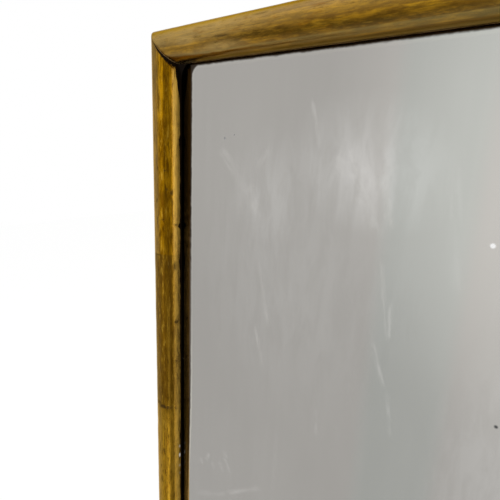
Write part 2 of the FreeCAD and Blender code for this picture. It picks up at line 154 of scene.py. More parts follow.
class Finish(Graph):
    """A material round one Principled shader, painted in coats over the object's own metres."""

    def __init__(self, name):
        self.material = bpy.data.materials.new(name)
        self.material.use_nodes = True
        super().__init__(self.material.node_tree)
        self.shader = self.tree.nodes["Principled BSDF"]
        self.place = self.add("ShaderNodeTexCoord").outputs["Object"]
        self.x, self.y, self.z = self.split(self.place)
        self.colour = None

    @cached_property
    def inset_x(self):
        return self.math("SUBTRACT", HALF_WIDTH, self.math("ABSOLUTE", self.x))

    @cached_property
    def inset_z(self):
        return self.math("SUBTRACT", HALF_HEIGHT, self.math("ABSOLUTE", self.z))

    @cached_property
    def stile(self):
        """1 on a stile, 0 on a rail."""
        return self.math("LESS_THAN", self.inset_x, self.inset_z)

    def split(self, vector):
        node = self.add("ShaderNodeSeparateXYZ")
        self.feed(node.inputs[0], vector)
        return node.outputs

    def join(self, *parts):
        node = self.add("ShaderNodeCombineXYZ")
        self.feed_all(node.inputs, parts)
        return node.outputs[0]

    def noise(self, vector, scale=1.0, detail=3.0, roughness=0.55, warp=0.0):
        node = self.add("ShaderNodeTexNoise")
        self.tune(node, Vector=vector, Scale=scale, Detail=detail, Roughness=roughness, Distortion=warp)
        return node.outputs["Fac"]

    def stretched(self, place, repeats, **look):
        """Noise with its own number of repeats per metre along each axis."""
        return self.noise(self.vector("MULTIPLY", place, repeats), **look)

    def along_sides(self, across, along, **look):
        """Noise drawn out along the stile or rail that a point belongs to, in repeats per metre."""
        swapped = self.join(self.z, self.y, self.x)
        place = self.mix("VECTOR", self.stile, swapped, self.place)
        return self.stretched(place, (across, across, along), **look)

    def around(self, centre, reach, turn=0.0):
        """Coordinates that are 0 at a centre and 1 at its reach, turned as seen from the front."""
        node = self.add("ShaderNodeMapping", vector_type="TEXTURE")
        self.tune(node, Vector=self.place, Location=centre, Rotation=(0.0, turn, 0.0), Scale=reach)
        return node.outputs[0]

    def blot(self, centre, reach, fade=0.35):
        """1 inside an ellipsoid round a centre, fading from a share of its reach to 0 at its reach."""
        return self.between(self.vector("LENGTH", self.around(centre, reach)), 1.0, fade)

    def near(self, value, centre, wide, narrow, amount=1.0):
        """An amount where a value is within narrow of a centre, fading to nothing at wide."""
        off = self.math("ABSOLUTE", self.math("SUBTRACT", value, centre))
        return self.between(off, wide, narrow, 0.0, amount)

    def coat(self, tint, *shares):
        """Blend a tint over the colour, by the product of its shares."""
        self.colour = self.blend(self.product(*shares), self.colour, tint)

    def bump(self, height, depth, strength):
        node = self.add("ShaderNodeBump")
        self.tune(node, Strength=strength, Distance=depth, Height=height)
        self.tune(self.shader, Normal=node.outputs[0])

    def set(self, **inputs):
        self.tune(self.shader, **{name: opaque(value) for name, value in inputs.items()})
        return self.material


# Colours of the brass in linear RGB, in the order of its coats
BRASS_TINTS = {
    "deep": (0.220, 0.093, 0.0008),
    "golden": (0.590, 0.292, 0.0050),
    "drawn": (0.195, 0.080, 0.0015),
    "lines": (0.165, 0.067, 0.0015),
    "cloud": (0.240, 0.112, 0.003),
    # flank: painted highlight, a paler line along the inner side of the stiles
    "flank": (0.690, 0.415, 0.085),
    # outer: painted sheen, a tan tone standing in for grazing reflection at the outer edge
    "outer": (0.390, 0.274, 0.196),
    "crest": (0.600, 0.440, 0.190),
    "bare": (0.680, 0.400, 0.040),
    "dull": (0.165, 0.082, 0.010),
    "ridge": (0.080, 0.040, 0.006),
    "streak": (0.640, 0.360, 0.035),
    # shoulder: painted shade on the outer top of the left stile
    "shoulder": (0.210, 0.125, 0.035),
    "edge": (0.250, 0.168, 0.090),
    # dust: partly dust and partly a painted highlight towards the left end of the rails
    "dust": (0.800, 0.570, 0.220),
    # shine: painted highlight along the round of the rails
    "shine": (0.860, 0.600, 0.200),
    # stain: painted shade, a slanting dark line across the top rail
    "stain": (0.100, 0.054, 0.006),
    "specks": (0.100, 0.050, 0.004),
    "pits": (0.100, 0.042, 0.003),
    "glints": (0.760, 0.450, 0.050),
    "ruddy": (0.300, 0.105, 0.006),
    "rubbed": (0.780, 0.550, 0.210),
    # under: partly dust and partly a painted highlight towards the left end of the rails
    "under": (0.400, 0.300, 0.145),
    "seam": (0.360, 0.300, 0.110),
    "lip": (0.125, 0.074, 0.018),
    "tip": (0.360, 0.240, 0.095),
    "dusty": (0.700, 0.440, 0.075),
    # dirt: dirt, and painted shade along the mitres and in a crease
    "dirt": (0.040, 0.021, 0.007),
    "chip": (0.92, 0.90, 0.84),
    "clean glance": (0.97, 0.84, 0.58),
    "dull glance": (0.45, 0.34, 0.16),
}

# Where the left stile's brass ends over the glass, and how ragged its coats end
LEFT_LIP = -HALF_WIDTH + RAIL
RAGGED_ENDS = 30 * MM

# How far dirt and painted shade reach from a mitre at the outer edge and at the sight edge
MITRE_REACH = (0.6 * MM, 6.5 * MM)

# Dark marks in the brass, three of them a crease deepened as painted shade: centre (x, y, z) and reach along
# each axis, in millimetres, and strength
MARKS = (
    ((-300, -29, 311), (1.8, 3, 2.2), 1.0),
    ((-297, -26, 308), (1.6, 3, 4.0), 1.0),
    ((-301, -30, 328), (1.5, 3, 1.6), 1.0),
    ((-303, -31, 282), (4.0, 3, 1.1), 0.7),
    ((-310, -33, 300), (1.6, 3, 3.0), 0.8),
    ((-296, -20, 277), (2.6, 4, 2.0), 1.0),
    ((-309, -33, 247), (4.0, 3, 1.5), 0.8),
    ((-299, -28, 238), (1.2, 3, 6.0), 0.8),
    ((-296, -22, 236), (1.2, 3, 7.0), 1.0),
    ((-296, -21, 177), (2.4, 4, 3.0), 1.0),
    ((-296, -22, 133), (2.4, 4, 2.4), 0.6),
    # These three mark the crease of a dent, deepened as painted shade
    ((-311, -33, 82.5), (5.5, 6, 3.4), 0.8),
    ((-305.5, -32, 79.5), (7.0, 7, 3.8), 1.0),
    ((-300, -28.5, 79), (5.5, 8, 3.6), 1.0),
    ((-305, -31.5, 25), (2.2, 3, 4.5), 0.8),
    ((-308, -32.6, -13), (2.6, 3, 6.0), 0.7),
    ((-296, -21, 77), (3.2, 4, 2.8), 0.7),
    ((-254, -33, 435), (8.0, 3, 1.2), 0.7),
    ((-229, -33, 433), (13.0, 3, 1.4), 0.7),
    ((-231, -32, 429), (7.0, 3, 1.0), 0.7),
    ((-191, -30, 443), (9.0, 3, 1.1), 0.7),
    ((-325, -20, 450), (7.0, 12, 9.0), 0.8),
)

# Pale flecks on the lip of the left stile: z and reach along it, in millimetres, and strength
PALE_FLECKS = ((28.0, 2.6, 0.6), (16.5, 4.0, 1.0), (3.0, 2.4, 0.4), (-7.5, 2.4, 0.35))
# Their reach across the lip and forward
FLECK_SIZE = (1.2 * MM, 1.8 * MM)

# Pale rubbed patches on the top rail, given as the marks are
RUBBED = (((-229, -31, 426.5), (36, 6, 4.5), 0.46), ((-270, -32, 434), (18, 6, 5), 0.34))


class AgedBrass(Finish):
    """Worn brass: a drawn ground under coats that follow the half-round, its lip and its mitres."""

    def __init__(self):
        super().__init__("aged_brass")
        self.inset = self.math("MINIMUM", self.inset_x, self.inset_z)
        self.rail = self.math("SUBTRACT", 1.0, self.stile)
        self.left = self.between(self.x, LEFT_LIP + 1.0 * MM, LEFT_LIP)
        self.mottle = self.along_sides(310.0, 55.0, detail=6.0, roughness=0.72)
        self.lines = self.along_sides(420.0, 8.0, detail=4.0, roughness=0.6)
        self.fine = self.along_sides(560.0, 80.0, detail=4.0, roughness=0.7)
        self.cloud = self.noise(self.place, scale=46.0, detail=5.0, roughness=0.6)

    def across(self, low, high, start=0.0, stop=1.0):
        """A smooth step by the distance in from the outer edge, in millimetres."""
        return self.between(self.inset, low * MM, high * MM, start, stop)

    def along(self, axis, low, high, start=0.0, stop=1.0):
        """A smooth step along an axis, in millimetres."""
        return self.between(axis, low * MM, high * MM, start, stop)

    def line(self, inset, wide, narrow, amount):
        """A line along the brass, in millimetres."""
        return self.near(self.inset, inset * MM, wide * MM, narrow * MM, amount)

    def by_side(self, on_stiles, on_rails):
        return self.between(self.rail, 0.0, 1.0, on_stiles, on_rails)

    def coat(self, name, *shares):
        super().coat(BRASS_TINTS[name], *shares)

    def lay_ground(self):
        drawn = self.along_sides(230.0, 10.0)
        mottled = self.between(self.mottle, 0.36, 0.64)
        self.colour = self.blend(mottled, BRASS_TINTS["deep"], BRASS_TINTS["golden"])
        self.coat("drawn", self.between(drawn, 0.48, 0.70, stop=0.50))
        self.coat("lines", self.between(self.lines, 0.50, 0.66, stop=0.62))
        self.coat("cloud", self.between(self.cloud, 0.46, 0.70, stop=0.60))

    def coat_stiles(self):
        """A flank painted paler as a highlight, a tan outer edge painted as a sheen and a paler crest;
        returns how matte the flank is.
        """
        # Painted highlight: the inner side of the stiles is paler, and matte
        flank = self.product(self.across(27.9, 29.2), self.stile)
        self.coat("flank", flank, self.along(self.z, 235, 260, 0.36, 0.62))
        # Painted sheen: the outer edge of the stiles is tan where it is seen at a grazing angle
        self.coat("outer", self.across(13.0, 6.0, stop=0.76), self.across(1.0, 6.0, start=0.15), self.stile)
        self.coat("crest", self.across(20.0, 14.0, stop=0.30), self.stile)
        patchy = self.between(self.mottle, 0.32, 0.60, start=0.4)
        return self.product(flank, self.along(self.z, 235, 260, stop=0.50), patchy)

    def coat_left_stile(self):
        """A bare foot, a dull length with a dark ridge, a bright streak and a shoulder darkened as painted
        shade.
        """
        ragged = self.math("MULTIPLY_ADD", self.mottle, RAGGED_ENDS, self.z)
        self.coat("bare", self.left, self.along(ragged, 110, 80, stop=0.34))
        length = self.product(self.along(self.z, 248.5, 246.5), self.along(ragged, 80, 110))
        dull = self.product(self.left, length, self.across(16.0, 8.0, 0.54, 0.70))
        self.coat("dull", dull)
        self.coat("ridge", self.line(20.3, 3.2, 0.8, 0.55), dull)
        length = self.product(self.along(ragged, 222, 196), self.along(ragged, 80, 110, start=0.4))
        self.coat("streak", self.left, length, self.line(25.4, 1.4, 0.3, 0.45))
        # Painted shade: the outer half of the left stile darkens towards its top
        self.coat("shoulder", self.left, self.along(self.z, 375, 410, stop=0.40), self.across(22.0, 16.0))

    def coat_rails(self):
        """A dull outer edge, a dusty pale coat that is partly a painted highlight towards the left end, a
        faint painted highlight and a slanting dark line of painted shade; returns where the edge is.
        """
        edge = self.product(self.across(13.0, 5.0, stop=0.90), self.across(0.3, 3.0, start=0.15), self.rail)
        self.coat("edge", edge)
        # A pale coat, partly dust and partly a painted highlight, growing towards the left end
        end = self.along(self.x, -150, -260, 0.14, 0.42)
        self.coat("dust", self.across(21.0, 14.0, start=0.40), end, self.rail)
        # Painted highlight: a faint paler band along the round of the rails
        self.coat("shine", self.across(17.0, 13.5, stop=0.10), self.across(7.5, 10.5), self.rail)
        # Painted shade: a slanting dark line where the top rail's round turns from lit to shaded
        slant = self.math("MULTIPLY_ADD", self.x, 0.034, 26.4 * MM)
        wander = self.math("MULTIPLY_ADD", self.cloud, 8.0 * MM, -4.0 * MM)
        stain = self.near(self.inset_z, self.math("ADD", slant, wander), 5.0 * MM, 0.5 * MM)
        stain = self.product(stain, self.between(self.mottle, 0.35, 0.65, 0.9, 0.35))
        length = self.along(self.x, -250, -190, start=0.15)
        self.coat("stain", stain, length, self.along(self.z, 400, 410), self.rail)
        return edge

    def speckle(self):
        """Specks, pits and glints, quieter on the rails, and ruddy patches."""
        speck = self.noise(self.place, scale=950.0, roughness=0.6)
        ruddy = self.along_sides(240.0, 70.0, detail=4.0)
        quiet = self.by_side(1.0, 0.45)
        self.coat("specks", self.between(speck, 0.60, 0.72, stop=0.55), quiet)
        self.coat("pits", self.between(self.fine, 0.54, 0.66, stop=0.70), quiet)
        self.coat("glints", self.between(self.fine, 0.46, 0.33, stop=0.46), quiet)
        self.coat("ruddy", self.between(ruddy, 0.58, 0.72, stop=0.35))

    def rub_patches(self):
        for centre, reach, strength in RUBBED:
            patch = self.blot(in_metres(centre), in_metres(reach), fade=0.2)
            self.coat("rubbed", patch, self.between(self.mottle, 0.35, 0.62, 0.4 * strength, strength))

    def coat_lip(self):
        """A dusty coat under the rails' crest, partly a painted highlight towards the left end, and coats on
        the lip, which is dark on the rails; returns the lip and where it is dusty.
        """
        # A pale coat under the crest, partly a painted highlight, growing towards the left end
        self.coat("under", self.across(21.5, 26.5), self.along(self.x, -190, -280, 0.16, 0.46), self.rail)
        self.coat("seam", self.across(24.8, 25.8, stop=0.35), self.across(28.5, 27.5), self.rail)
        low = self.between(self.y, -SPRING - 8.0 * MM, -SPRING - 2.0 * MM)
        lip = self.product(self.between(self.inset, RAIL - 4.5 * MM, RAIL - 0.8 * MM), low)
        self.coat("lip", lip, self.rail)
        tip = self.between(self.inset, RAIL - 1.2 * MM, RAIL - 0.4 * MM, stop=0.9)
        self.coat("tip", lip, tip, self.by_side(0.2, 1.0))
        patchy = self.between(self.mottle, 0.35, 0.62, 0.20, 0.55)
        dusty = self.product(lip, patchy, self.by_side(1.0, 0.3))
        self.coat("dusty", dusty, self.stile)
        return lip, dusty

    def lay_dirt_and_shade(self):
        """Dirt and painted shade along the mitres, and the dark marks, partly painted shade in a crease;
        returns where it lies.
        """
        off = self.math("ABSOLUTE", self.math("SUBTRACT", self.inset_x, self.inset_z))
        reach = self.across(6.0, 22.0, *MITRE_REACH)
        dirt = self.between(self.math("DIVIDE", off, reach), 1.0, 0.0, 0.0, 0.9)
        dirt = self.product(dirt, self.across(8.0, 19.0, start=0.35))
        for centre, spread, strength in MARKS:
            mark = self.blot(in_metres(centre), in_metres(spread))
            dirt = self.math("MAXIMUM", dirt, self.math("MULTIPLY", mark, strength))
        dirt = self.product(dirt, self.between(self.mottle, 0.30, 0.62, 1.0, 0.45))
        self.coat("dirt", dirt)
        return dirt

    def chip_lip(self, dusty):
        """Pale flecks on the lip of the left stile; returns the dusty part with the flecks added."""
        for z, reach, strength in PALE_FLECKS:
            chip = self.blot((LEFT_LIP, -SPRING, z * MM), (*FLECK_SIZE, reach * MM))
            chip = self.product(chip, self.between(self.fine, 0.40, 0.52, 0.3 * strength, strength))
            self.coat("chip", chip)
            dusty = self.math("MAXIMUM", dusty, chip)
        return dusty

    def dress(self):
        self.lay_ground()
        matte = self.coat_stiles()
        self.coat_left_stile()
        edge = self.coat_rails()
        self.speckle()
        self.rub_patches()
        lip, dusty = self.coat_lip()
        dirt = self.lay_dirt_and_shade()
        dusty = self.chip_lip(dusty)
        dull = self.math("MAXIMUM", self.math("MAXIMUM", dirt, lip), edge)
        glance = self.blend(dull, BRASS_TINTS["clean glance"], BRASS_TINTS["dull glance"])
        rough = self.between(self.mottle, 0.3, 0.7, 0.26, 0.12)
        rough = self.math("MULTIPLY_ADD", dirt, 0.3, rough)
        metal = self.between(dirt, 0.0, 1.0, 1.0, 0.75)
        metal = self.math("SUBTRACT", metal, self.math("MAXIMUM", dusty, matte))
        relief = self.math("MULTIPLY_ADD", self.lines, 1.6, self.math("MULTIPLY", self.mottle, 0.7))
        self.bump(self.math("SUBTRACT", relief, dirt), depth=0.12 * MM, strength=0.8)
        return self.set(Base_Color=self.colour, Specular_Tint=glance, Metallic=metal, Roughness=rough)


def frame_wood():
    """Stained softwood; its sight edge is black on the stiles and brown on the rails, the brown being
    painted light that lifts an edge lying in shade.
    """
    dark, light = (0.115, 0.058, 0.026), (0.30, 0.175, 0.085)
    stained, open_pore = (0.085, 0.048, 0.026), (0.045, 0.025, 0.013)
    soot, worn_soot = (0.005, 0.0026, 0.0012), (0.016, 0.0080, 0.0034)
    brown, worn_brown = (0.200, 0.115, 0.045), (0.360, 0.220, 0.090)
    wood = Finish("frame_wood")
    grain = wood.along_sides(620.0, 11.0, detail=5.0, warp=0.6)
    pores = wood.along_sides(2200.0, 60.0, detail=2.0)
    stain = wood.noise(wood.place, scale=11.0, detail=4.0)
    wood.colour = wood.blend(wood.between(grain, 0.3, 0.7), dark, light)
    wood.coat(stained, wood.between(stain, 0.45, 0.75, stop=0.6))
    wood.coat(open_pore, wood.between(pores, 0.58, 0.72, stop=0.7))
    worn = wood.between(pores, 0.4, 0.7)
    # On the rails the sight edge is brown, lighter than on the stiles: painted light for an edge in shade
    on_rails = wood.blend(worn, brown, worn_brown)
    on_stiles = wood.blend(worn, soot, worn_soot)
    front = wood.between(wood.y, -GLASS + 1.5 * MM, -GLASS + 0.2 * MM)
    wood.coat(wood.blend(wood.stile, on_rails, on_stiles), front)
    wood.bump(wood.math("MULTIPLY_ADD", pores, -0.5, grain), depth=0.25 * MM, strength=0.7)
    rough = wood.between(grain, 0.3, 0.7, 0.78, 0.62)
    return wood.set(Base_Color=wood.colour, Roughness=rough, Specular_IOR_Level=0.04)


# Knots in the backboards: x, z and reach in millimetres
KNOTS = ((-170, 330, 13), (95, 215, 10), (-40, 20, 15), (205, -95, 11), (-215, -190, 12), (120, -350, 14))


def board_wood():
    """Sawn softwood: each board has its own tone and its own run of grain, with a few knots."""
    pale, ring = (0.40, 0.255, 0.130), (0.215, 0.115, 0.050)
    brown, stained = (0.170, 0.095, 0.046), (0.155, 0.095, 0.055)
    dark_fibre, knot_core, joint = (0.110, 0.060, 0.030), (0.095, 0.045, 0.020), (0.030, 0.017, 0.009)
    wood = Finish("board_wood")
    low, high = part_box("backboard_1")
    pitch = high.z - low.z
    count = wood.math("DIVIDE", wood.math("SUBTRACT", wood.z, low.z), pitch)
    which = wood.math("FLOOR", count)
    within = wood.math("FRACT", count)
    shift = wood.join(wood.math("MULTIPLY", which, 1.73), 0.0, wood.math("MULTIPLY", which, 0.31))
    moved = wood.vector("ADD", wood.place, shift)
    pull = None
    for x, z, reach in KNOTS:
        knot = wood.blot((x * MM, -4 * MM, z * MM), (reach * MM, 100 * MM, reach * 0.7 * MM))
        pull = knot if pull is None else wood.math("MAXIMUM", pull, knot)
    bent = wood.vector("ADD", moved, wood.join(0.0, 0.0, wood.math("MULTIPLY", pull, 10 * MM)))
    rings = wood.stretched(bent, (2.2, 90.0, 75.0), detail=4.0, warp=0.5)
    fibre = wood.stretched(moved, (40.0, 900.0, 1500.0))
    stain = wood.noise(wood.place, scale=5.0, detail=5.0)
    tone = wood.noise(wood.join(wood.math("MULTIPLY", which, 7.7), 0.0, 0.0), detail=0.0)
    wood.colour = wood.blend(wood.between(rings, 0.32, 0.68), pale, ring)
    wood.coat(brown, wood.between(tone, 0.3, 0.7, stop=0.6))
    wood.coat(stained, wood.between(stain, 0.45, 0.72, stop=0.55))
    wood.coat(dark_fibre, wood.between(fibre, 0.56, 0.72, stop=0.5))
    wood.coat(knot_core, wood.between(pull, 0.45, 1.0, stop=0.8))
    edge = wood.math("MINIMUM", within, wood.math("SUBTRACT", 1.0, within))
    edge = wood.math("MULTIPLY", edge, pitch)
    wood.coat(joint, wood.between(edge, 3.2 * MM, 0.6 * MM, stop=0.85))
    wood.bump(wood.math("MULTIPLY_ADD", fibre, 0.6, rings), depth=0.3 * MM, strength=0.7)
    rough = wood.between(rings, 0.3, 0.7, 0.72, 0.85)
    return wood.set(Base_Color=wood.colour, Roughness=rough)


# Wipe marks on the glass: start and end (x, z), half width, all in millimetres, and strength
SMEARS = (
    ((-123, 359), (-92, 301), 2.2, 1.0),
    ((-133, 350), (-107, 330), 5.0, 0.9),
    ((-113, 327), (-96, 305), 4.0, 0.8),
    ((-90, 350), (-99, 333), 4.0, 0.9),
    ((-95, 345), (-89, 311), 3.0, 0.9),
    ((-89, 327), (-86, 307), 1.6, 0.8),
    ((-108, 346), (-104, 326), 6.0, 0.7),
    ((-91, 288), (-79, 231), 2.0, 0.7),
    ((-81, 261), (-78, 233), 1.6, 1.0),
    ((-90, 229), (-78, 197), 2.2, 0.9),
    ((-75, 197), (-69, 163), 1.8, 0.8),
    ((-154, 388), (-144, 355), 2.0, 0.9),
    ((-196, 263), (-182, 208), 1.8, 0.8),
    ((-197, 206), (-186, 169), 2.0, 0.9),
    ((-245, 352), (-206, 314), 6.0, 0.6),
    ((-189, 354), (-202, 336), 3.0, 0.8),
    ((-209, 325), (-200, 298), 5.0, 0.9),
    ((-54, 354), (-41, 271), 4.0, 0.4),
    ((-130, 157), (-127, 131), 1.8, 0.6),
    ((-110, 153), (-106, 120), 1.8, 0.4),
    ((-251, 43), (-256, 31), 2.2, 0.9),
    ((-266, 27), (-260, 26), 3.0, 0.8),
    ((-230, 50), (-219, 37), 2.0, 1.0),
    ((-237, 42), (-230, 32), 2.2, 0.9),
    ((-247, 35), (-243, 28), 2.4, 0.7),
    ((-233, 57), (-224, 53), 3.6, 0.5),
    ((-225, 10), (-179, 48), 2.6, 0.8),
    ((-271, -20), (-225, 9), 3.0, 0.6),
)

# Thin film left on the glass: centre (x, z) and reach along each, in millimetres, and strength
FILMS = (
    ((-114, 342), (76, 60), 0.66),
    ((-184, 312), (70, 74), 0.40),
    ((-165, 250), (140, 170), 0.24),
    ((-4, 160), (56, 120), 0.40),
)

# Spots on the glass: x, z and reach in millimetres, and how pale each one is
SPOTS = (
    (-27.6, 307.7, 2.0, 0.95),
    (-9.0, 203.3, 1.6, 0.08),
    (-239.0, 359.0, 1.6, 0.28),
    (-228.0, 362.0, 1.1, 0.30),
)
# A mark on the glass reaches right through the plate
THROUGH = 50 * MM

# Colours of the glass in linear RGB
SILVER, FILMED = (0.64, 0.618, 0.580), (0.93, 0.91, 0.88)
# Painted highlight: a pale line along the edge of the clear silver
HIGHLIGHT_RIM = (0.95, 0.90, 0.78)
# Dark edge band: decayed silver, partly a painted dark reflection of the brass lip and sight edge
DEEP_BROWN, DEEP_GREY = (0.010, 0.0075, 0.005), (0.046, 0.040, 0.034)
FAINT_BROWN, FAINT_GREY = (0.060, 0.044, 0.030), (0.230, 0.200, 0.172)
PALE_SPECK = (0.62, 0.62, 0.66)

# Rounding of the corners of the clear silver, and how far the torn line at its edge wanders
CLEAR_ROUND, TEAR = 9.0 * MM, 2.0 * MM
# A pale speck in the dark edge band: x, z and reach along each, in millimetres
PALE_SPECK_SPOT = (-293.9, 134.6, 1.3, 1.5)


class SilveredGlass(Finish):
    """Old mirror silver under a wiped film, with a few spots, and darkened along its edges, partly decayed
    silver and partly a painted dark reflection of the brass lip and sight edge.
    """

    def on_face(self, x, z, reach_x, reach_z, fade=0.35):
        """A blot on the face of the glass, from millimetres."""
        return self.blot((x * MM, -GLASS, z * MM), (reach_x * MM, THROUGH, reach_z * MM), fade)

    def stroke(self, start, end, half_width, seed):
        """A wipe mark, whose streaks run along its own length."""
        (x0, z0), (x1, z1) = start, end
        centre = ((x0 + x1) / 2 * MM, -GLASS, (z0 + z1) / 2 * MM)
        reach = (math.hypot(x1 - x0, z1 - z0) * 0.54 * MM, THROUGH, half_width * 1.4 * MM)
        local = self.around(centre, reach, turn=math.atan2(z0 - z1, x1 - x0))
        along, _, across = self.split(local)
        ends = self.between(self.math("ABSOLUTE", along), 1.0, 0.65)
        sides = self.between(self.math("ABSOLUTE", across), 1.0, 0.25)
        spread = self.vector("MULTIPLY", local, (1.4, 0.0, 2.0))
        streaks = self.noise(self.vector("ADD", spread, (0.0, 2.7 * seed, 0.0)), detail=4.0, roughness=0.6)
        return self.product(ends, sides, self.between(streaks, 0.36, 0.64, start=0.2))

    def wipe_marks(self):
        cloud = self.stretched(self.place, (16.0, 16.0, 7.0))
        streak = self.stretched(self.place, (150.0, 150.0, 5.0))
        streaky = self.between(streak, 0.45, 0.8, stop=0.10)
        smear = self.math("ADD", self.between(cloud, 0.40, 0.75, stop=0.12), streaky)
        for seed, (start, end, half_width, strength) in enumerate(SMEARS):
            mark = self.stroke(start, end, half_width, seed)
            mark = self.math("MULTIPLY", mark, 0.8 * strength)
            smear = self.math("MAXIMUM", smear, mark)
        return smear

    def film_over(self, smear):
        wiped = self.stretched(self.place, (75.0, 75.0, 22.0), detail=4.0, warp=0.4)
        film = self.math("MULTIPLY", smear, 0.32)
        for (x, z), (reach_x, reach_z), strength in FILMS:
            veil = self.on_face(x, z, reach_x, reach_z, fade=0.0)
            broken = self.between(wiped, 0.32, 0.64, 0.40 * strength, 1.1 * strength)
            film = self.math("MAXIMUM", film, self.product(veil, broken))
        return film

    def past(self, axis, limit):
        """How far a point lies outside a limit on either side of the middle."""
        over = self.math("SUBTRACT", self.math("ABSOLUTE", axis), limit)
        return self.math("MAXIMUM", over, 0.0)

    def outside_clear(self):
        """Distance from a core of the clear silver, which ends where this is CLEAR_ROUND."""
        left = self.between(self.z, -60 * MM, 120 * MM, 10.2 * MM, 14.4 * MM)
        right = self.between(self.x, -100 * MM, 100 * MM)
        band = self.math("MULTIPLY_ADD", right, -10.0 * MM, left)
        clear_x = self.math("SUBTRACT", HALF_WIDTH - RAIL + SIGHT_SETBACK - CLEAR_ROUND, band)
        clear_z = HALF_HEIGHT - RAIL - 1.7 * MM - CLEAR_ROUND
        over = self.join(self.past(self.x, clear_x), self.past(self.z, clear_z), 0.0)
        return self.vector("LENGTH", over)

    def spoil_and_shade_edges(self):
        """Stain the silver along its edges, partly as a painted dark reflection of the brass lip, with a
        bright rim that is a painted highlight; returns where it is darkened.
        """
        bite = self.noise(self.place, scale=130.0, detail=5.0, roughness=0.65)
        outside = self.outside_clear()
        torn = self.math("ADD", outside, self.math("MULTIPLY_ADD", bite, TEAR, -TEAR / 2))
        # Darkened band: partly decayed silver, partly a painted dark reflection of the brass lip
        spoilt_and_shaded = self.between(torn, CLEAR_ROUND - 0.8 * MM, CLEAR_ROUND + 0.8 * MM)
        # Painted highlight: a pale line along the edge of the clear silver, stronger lower down
        rim = self.near(torn, CLEAR_ROUND - 1.6 * MM, 1.3 * MM, 0.3 * MM)
        self.coat(HIGHLIGHT_RIM, rim, self.between(self.z, 210 * MM, 80 * MM, 0.10, 0.75))
        height = self.math("MULTIPLY_ADD", bite, 250 * MM, self.z)
        foot = self.between(height, 180 * MM, 270 * MM, start=0.25)
        grey = self.product(self.between(height, 420 * MM, 360 * MM), foot)
        deep = self.blend(grey, DEEP_BROWN, DEEP_GREY)
        faint = self.blend(grey, FAINT_BROWN, FAINT_GREY)
        stain = self.blend(self.between(outside, CLEAR_ROUND, CLEAR_ROUND + 9.0 * MM), faint, deep)
        stain = self.blend(self.on_face(*PALE_SPECK_SPOT), stain, PALE_SPECK)
        self.coat(stain, spoilt_and_shaded)
        return spoilt_and_shaded

    def dress(self):
        smear = self.wipe_marks()
        metal = self.math("SUBTRACT", 1.0, self.math("MULTIPLY", smear, 0.22))
        rough = self.between(smear, 0.0, 1.0, 0.025, 0.16)
        self.colour = self.blend(self.film_over(smear), SILVER, FILMED)
        for x, z, reach, pale in SPOTS:
            spot = self.on_face(x, z, reach, reach)
            self.coat((pale, pale, pale), spot)
            metal = self.product(metal, self.between(spot, 0.0, 1.0, 1.0, 0.1))
        spoilt_and_shaded = self.spoil_and_shade_edges()
        metal = self.math("MULTIPLY_ADD", spoilt_and_shaded, -0.02, metal)
        rough = self.math("MULTIPLY_ADD", spoilt_and_shaded, 0.03, rough)
        return self.set(Base_Color=self.colour, Metallic=metal, Roughness=rough)


def dark_steel():
    dark, light, rust_brown = (0.17, 0.165, 0.155), (0.33, 0.32, 0.30), (0.135, 0.055, 0.022)
    steel = Finish("dark_steel")
    tone = steel.noise(steel.place, scale=260.0, detail=4.0)
    rust = steel.noise(steel.place, scale=90.0, detail=5.0)
    rusty = steel.between(rust, 0.52, 0.68)
    steel.colour = steel.blend(steel.between(tone, 0.3, 0.7), dark, light)
    steel.coat(rust_brown, rusty)
    steel.bump(steel.math("ADD", tone, rust), depth=0.08 * MM, strength=0.5)
    metal = steel.between(rusty, 0.0, 1.0, 1.0, 0.25)
    rough = steel.between(tone, 0.3, 0.7, 0.5, 0.33)
    return steel.set(Base_Color=steel.colour, Metallic=metal, Roughness=rough)


def dark_putty():
    black, brown = (0.004, 0.0026, 0.0016), (0.013, 0.0075, 0.004)
    putty = Finish("dark_putty")
    grit = putty.noise(putty.place, scale=900.0, detail=4.0)
    lump = putty.noise(putty.place, scale=160.0)
    colour = putty.blend(putty.between(lump, 0.35, 0.7), black, brown)
    putty.bump(putty.math("MULTIPLY_ADD", grit, 0.4, lump), depth=0.3 * MM, strength=0.7)
    rough = putty.between(grit, 0.3, 0.7, 0.55, 0.8)
    return putty.set(Base_Color=colour, Roughness=rough, Specular_IOR_Level=0.06)


def backing_paper():
    tan, foxed = (0.42, 0.31, 0.19), (0.25, 0.16, 0.08)
    paper = Finish("backing_paper")
    fibre = paper.noise(paper.place, scale=700.0)
    spots = paper.noise(paper.place, scale=60.0, detail=4.0)
    colour = paper.blend(paper.between(spots, 0.5, 0.7), tan, foxed)
    paper.bump(fibre, depth=0.05 * MM, strength=0.5)
    rough = paper.between(fibre, 0.3, 0.7, 0.8, 0.95)
    return paper.set(Base_Color=colour, Roughness=rough)


BRASS = AgedBrass().dress()
WOOD = frame_wood()
PINE = board_wood()
MIRROR = SilveredGlass("silvered_glass").dress()
STEEL = dark_steel()
PUTTY = dark_putty()
PAPER = backing_paper()


def material_of(name):
    """The material of a node, by its name; what is left over is steel."""
    if name.endswith("_brass") or name == "brass_pins":
        return BRASS
    if name.endswith("_core") or name.startswith("corner_spline") or name == "plate_packers":
        return WOOD
    if name.startswith("backboard"):
        return PINE
    return {"mirror_plate": MIRROR, "corner_putty": PUTTY, "backing_paper": PAPER}.get(name, STEEL)


for name, node in nodes.items():
    node.data.materials.clear()
    node.data.materials.append(material_of(name))


